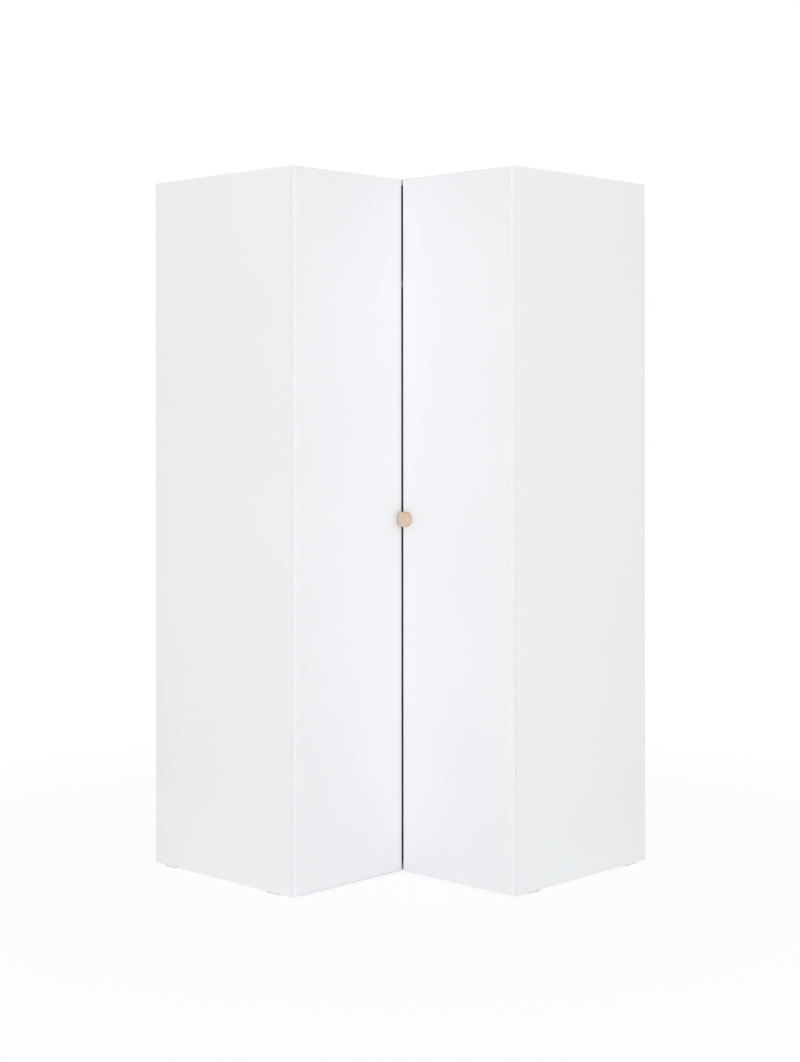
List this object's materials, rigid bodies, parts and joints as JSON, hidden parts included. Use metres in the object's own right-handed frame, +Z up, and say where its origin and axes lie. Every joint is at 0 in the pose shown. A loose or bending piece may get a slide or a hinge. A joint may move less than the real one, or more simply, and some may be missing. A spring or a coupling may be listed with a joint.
{
  "type": "corner wardrobe",
  "caption": "L-shaped corner wardrobe with a door on each arm, a D-shaped wooden knob at the inner corner, a hat shelf, a clothes rail and loose shelves.",
  "frame": {"origin": "on the floor, under the middle of the square plan that the wardrobe fills", "axes": "+Z up; the room's walls stand at -X and +Y; the inner corner points to +X and -Y; the left door faces +X and the right door faces -Y"},
  "size_m": [1.021, 1.021, 2],
  "materials": {
    "white_board": "chipboard faced with plain white melamine, matt satin",
    "white_door": "door board faced with plain white melamine, matt satin",
    "back_sheet": "thin fibreboard, lacquered white on its inner side",
    "beech": "pale beech, fine short grain, clear matt lacquer",
    "rail_steel": "bright plated steel tube",
    "hinge_steel": "nickel-plated pressed steel",
    "white_plastic": "white moulded plastic",
    "clear_plastic": "soft translucent plastic"
  },
  "bodies": {
    "carcass": {"left_side_panel": "white_board", "right_side_panel": "white_board", "bottom_panel": "white_board", "top_panel": "white_board", "hat_shelf": "white_board", "rear_board": "white_board", "partition": "white_board", "shelf_1": "white_board", "shelf_2": "white_board", "shelf_3": "white_board", "shelf_4": "white_board", "shelf_5": "white_board", "left_back_sheet": "back_sheet", "right_back_sheet": "back_sheet", "clothes_rail": "rail_steel", "rail_socket_side": "rail_steel", "rail_socket_rear": "rail_steel", "glide_left_front": "white_plastic", "glide_left_rear": "white_plastic", "glide_right_front": "white_plastic", "glide_right_rear": "white_plastic", "glide_inner_corner": "white_plastic", "glide_rear_corner": "white_plastic", "glide_partition_front": "white_plastic", "glide_partition_rear": "white_plastic", "left_hinge_arm_1": "hinge_steel", "left_hinge_arm_2": "hinge_steel", "left_hinge_arm_3": "hinge_steel", "left_hinge_arm_4": "hinge_steel", "left_hinge_plate_1": "hinge_steel", "left_hinge_plate_2": "hinge_steel", "left_hinge_plate_3": "hinge_steel", "left_hinge_plate_4": "hinge_steel", "right_hinge_arm_1": "hinge_steel", "right_hinge_arm_2": "hinge_steel", "right_hinge_arm_3": "hinge_steel", "right_hinge_arm_4": "hinge_steel", "right_hinge_plate_1": "hinge_steel", "right_hinge_plate_2": "hinge_steel", "right_hinge_plate_3": "hinge_steel", "right_hinge_plate_4": "hinge_steel"},
    "left_leaf": {"left_door": "white_door", "left_bumper_low": "clear_plastic", "left_bumper_high": "clear_plastic", "left_hinge_cup_1": "hinge_steel", "left_hinge_cup_2": "hinge_steel", "left_hinge_cup_3": "hinge_steel", "left_hinge_cup_4": "hinge_steel"},
    "right_leaf": {"right_door": "white_door", "right_bumper_low": "clear_plastic", "right_bumper_high": "clear_plastic", "knob": "beech", "knob_screw": "hinge_steel", "right_hinge_cup_1": "hinge_steel", "right_hinge_cup_2": "hinge_steel", "right_hinge_cup_3": "hinge_steel", "right_hinge_cup_4": "hinge_steel"}
  },
  "joints": [
    {"name": "left_door_swing", "type": "hinge", "parent": "carcass", "child": "left_leaf", "pos_m": [0.086, -0.5045, 0], "axis": [0, 0, -1], "range_deg": [0, 110]},
    {"name": "right_door_swing", "type": "hinge", "parent": "carcass", "child": "right_leaf", "pos_m": [0.5045, -0.086, 0], "axis": [0, 0, 1], "range_deg": [0, 110]}
  ]
}
